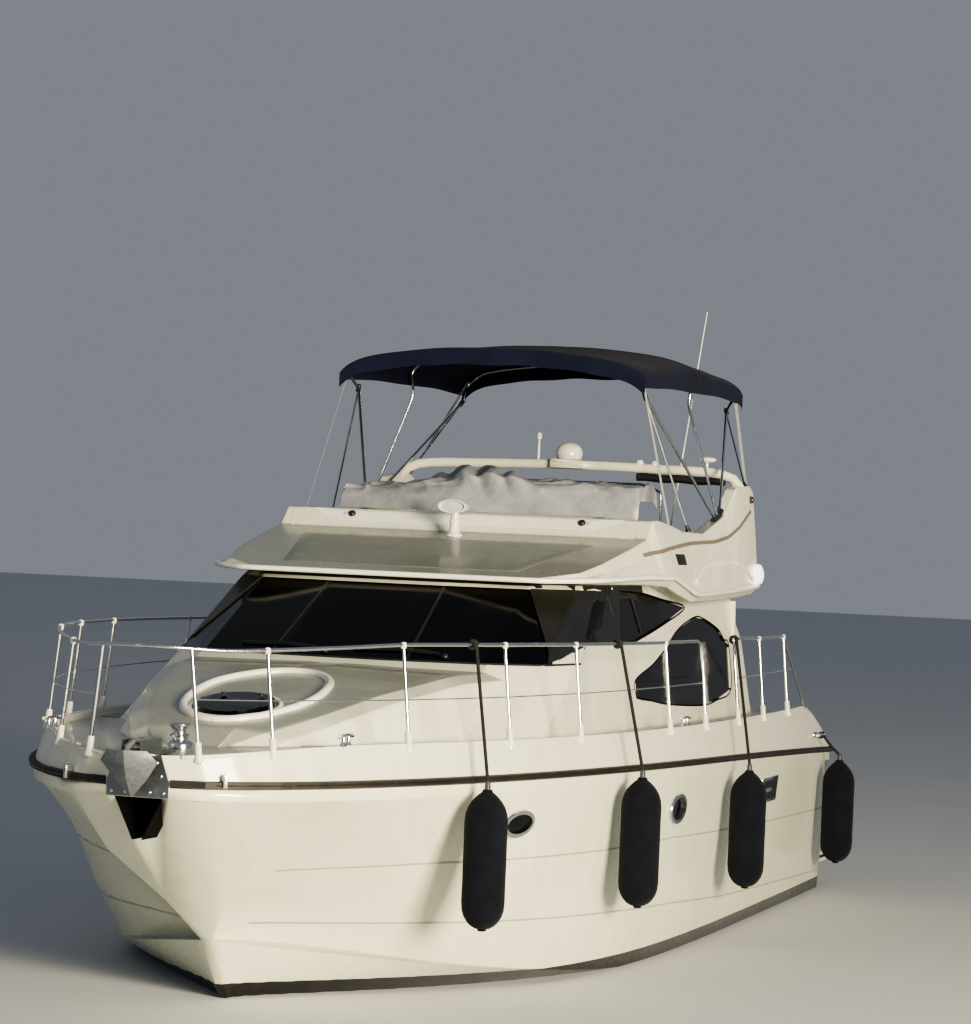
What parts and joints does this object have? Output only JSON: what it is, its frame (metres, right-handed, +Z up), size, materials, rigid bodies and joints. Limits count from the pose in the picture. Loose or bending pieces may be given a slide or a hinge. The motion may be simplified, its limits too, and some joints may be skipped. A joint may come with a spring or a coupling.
{
  "type": "motor yacht with a flying bridge",
  "caption": "White flybridge motor yacht afloat: V hull, black windscreen, navy bimini, steel rails and dark fenders on the port side.",
  "frame": {"origin": "on the centreline at the waterline, amidships", "axes": "+X to the bow, +Y to port, +Z up"},
  "size_m": [12.36, 4.4237, 5.9704],
  "materials": {
    "gelcoat": "white gelcoat",
    "dark_glass": "smoked glass",
    "strake_rubber": "dark rubber with a steel strip",
    "polished_steel": "polished stainless steel",
    "galvanised_steel": "galvanised",
    "fender_cover": "dark blue knitted cover",
    "rope": "black braided rope",
    "black_plastic": "black moulded plastic",
    "vinyl": "cream marine vinyl",
    "tarp": "grey-white coated cloth",
    "navy_canvas": "navy acrylic canvas",
    "deck_grip": "white gelcoat with a grip pattern",
    "engine_paint": "grey engine enamel",
    "bronze": "bronze under water",
    "varnished_wood": "satin varnish"
  },
  "bodies": {
    "boat": {"hull": "gelcoat", "cockpit_sole": "gelcoat", "deck": "gelcoat", "cabin": "gelcoat", "windscreen": "dark_glass", "fore_side_window_port": "dark_glass", "fore_side_window_starboard": "dark_glass", "aft_side_window_port": "dark_glass", "aft_side_window_starboard": "dark_glass", "saloon_bulkhead_pane": "dark_glass", "flybridge": "gelcoat", "rub_strake_port": "strake_rubber", "rub_strake_starboard": "strake_rubber", "bow_roller_plate": "polished_steel", "anchor": "galvanised_steel", "windlass": "polished_steel", "bow_rail": "polished_steel", "after_rail_port": "polished_steel", "after_rail_starboard": "polished_steel", "fender_1": "fender_cover", "fender_2": "fender_cover", "fender_3": "fender_cover", "fender_4": "fender_cover", "lanyard_1": "rope", "lanyard_2": "rope", "lanyard_3": "rope", "lanyard_4": "rope", "fly_console": "gelcoat", "fly_helm_seat": "vinyl", "fly_settee": "vinyl", "helm_cover": "tarp", "searchlight_post": "polished_steel", "arch": "gelcoat", "arch_dome": "gelcoat", "whip_antenna": "gelcoat", "fly_rail": "polished_steel", "bimini_frame": "polished_steel", "bimini_canopy": "navy_canvas", "cockpit_bench": "vinyl", "fly_stairs": "polished_steel", "swim_platform": "deck_grip", "engine_port": "engine_paint", "propeller_shaft_port": "bronze", "engine_starboard": "engine_paint", "propeller_shaft_starboard": "bronze", "saloon_furniture": "varnished_wood"},
    "propeller_port_body": {"propeller_port": "bronze"},
    "propeller_starboard_body": {"propeller_starboard": "bronze"},
    "rudder_port_body": {"rudder_port": "bronze"},
    "rudder_starboard_body": {"rudder_starboard": "bronze"},
    "fly_wheel_body": {"fly_wheel": "black_plastic"},
    "saloon_wheel_body": {"saloon_wheel": "black_plastic"},
    "saloon_door_body": {"saloon_door": "dark_glass"},
    "transom_gate_body": {"transom_gate": "gelcoat"},
    "foredeck_hatch_body": {"foredeck_hatch": "dark_glass"},
    "engine_hatch_body": {"engine_hatch": "gelcoat"},
    "boarding_ladder_body": {"boarding_ladder": "polished_steel"},
    "searchlight_body": {"searchlight": "polished_steel"}
  },
  "joints": [
    {"name": "propeller_port_spin", "type": "hinge", "parent": "boat", "child": "propeller_port_body", "pos_m": [-4.64, 0.62, -0.7], "axis": [0.989, 0, 0.1478], "continuous": true},
    {"name": "propeller_starboard_spin", "type": "hinge", "parent": "boat", "child": "propeller_starboard_body", "pos_m": [-4.64, -0.62, -0.7], "axis": [0.989, 0, 0.1478], "continuous": true},
    {"name": "rudder_port_turn", "type": "hinge", "parent": "boat", "child": "rudder_port_body", "pos_m": [-5.12, 0.62, -0.6], "axis": [0, 0, 1], "range_deg": [-35, 35]},
    {"name": "rudder_starboard_turn", "type": "hinge", "parent": "boat", "child": "rudder_starboard_body", "pos_m": [-5.12, -0.62, -0.6], "axis": [0, 0, 1], "range_deg": [-35, 35]},
    {"name": "fly_wheel_turn", "type": "hinge", "parent": "boat", "child": "fly_wheel_body", "pos_m": [-1.155, 0.4, 3.18], "axis": [1, 0, 0], "range_deg": [-630, 630]},
    {"name": "saloon_wheel_turn", "type": "hinge", "parent": "boat", "child": "saloon_wheel_body", "pos_m": [0.9, -0.75, 1.36], "axis": [1, 0, 0], "range_deg": [-630, 630]},
    {"name": "saloon_door_slide", "type": "slide", "parent": "boat", "child": "saloon_door_body", "axis": [0, -1, 0], "range_m": [0, 0.85]},
    {"name": "transom_gate_swing", "type": "hinge", "parent": "boat", "child": "transom_gate_body", "pos_m": [-5.2196, 1.36, 1], "axis": [0, 0, 1], "range_deg": [0, 90]},
    {"name": "foredeck_hatch_lift", "type": "hinge", "parent": "boat", "child": "foredeck_hatch_body", "pos_m": [4.482, 0, 1.838], "axis": [0, 1, 0], "range_deg": [0, 80]},
    {"name": "engine_hatch_lift", "type": "hinge", "parent": "boat", "child": "engine_hatch_body", "pos_m": [-3.606, 0, 0.719], "axis": [0, 1, 0], "range_deg": [0, 75]},
    {"name": "boarding_ladder_swing", "type": "hinge", "parent": "boat", "child": "boarding_ladder_body", "pos_m": [-6.343, -1.1, 0.326], "axis": [0, -1, 0], "range_deg": [0, 262]},
    {"name": "searchlight_pan", "type": "hinge", "parent": "boat", "child": "searchlight_body", "pos_m": [-0.16, 0, 3.2], "axis": [0, 0, 1], "range_deg": [-170, 170]}
  ],
  "couplings": [
    {"joint": "rudder_starboard_turn", "follows": "rudder_port_turn", "ratio": 1},
    {"joint": "fly_wheel_turn", "follows": "rudder_port_turn", "ratio": 18},
    {"joint": "saloon_wheel_turn", "follows": "rudder_port_turn", "ratio": 18}
  ]
}
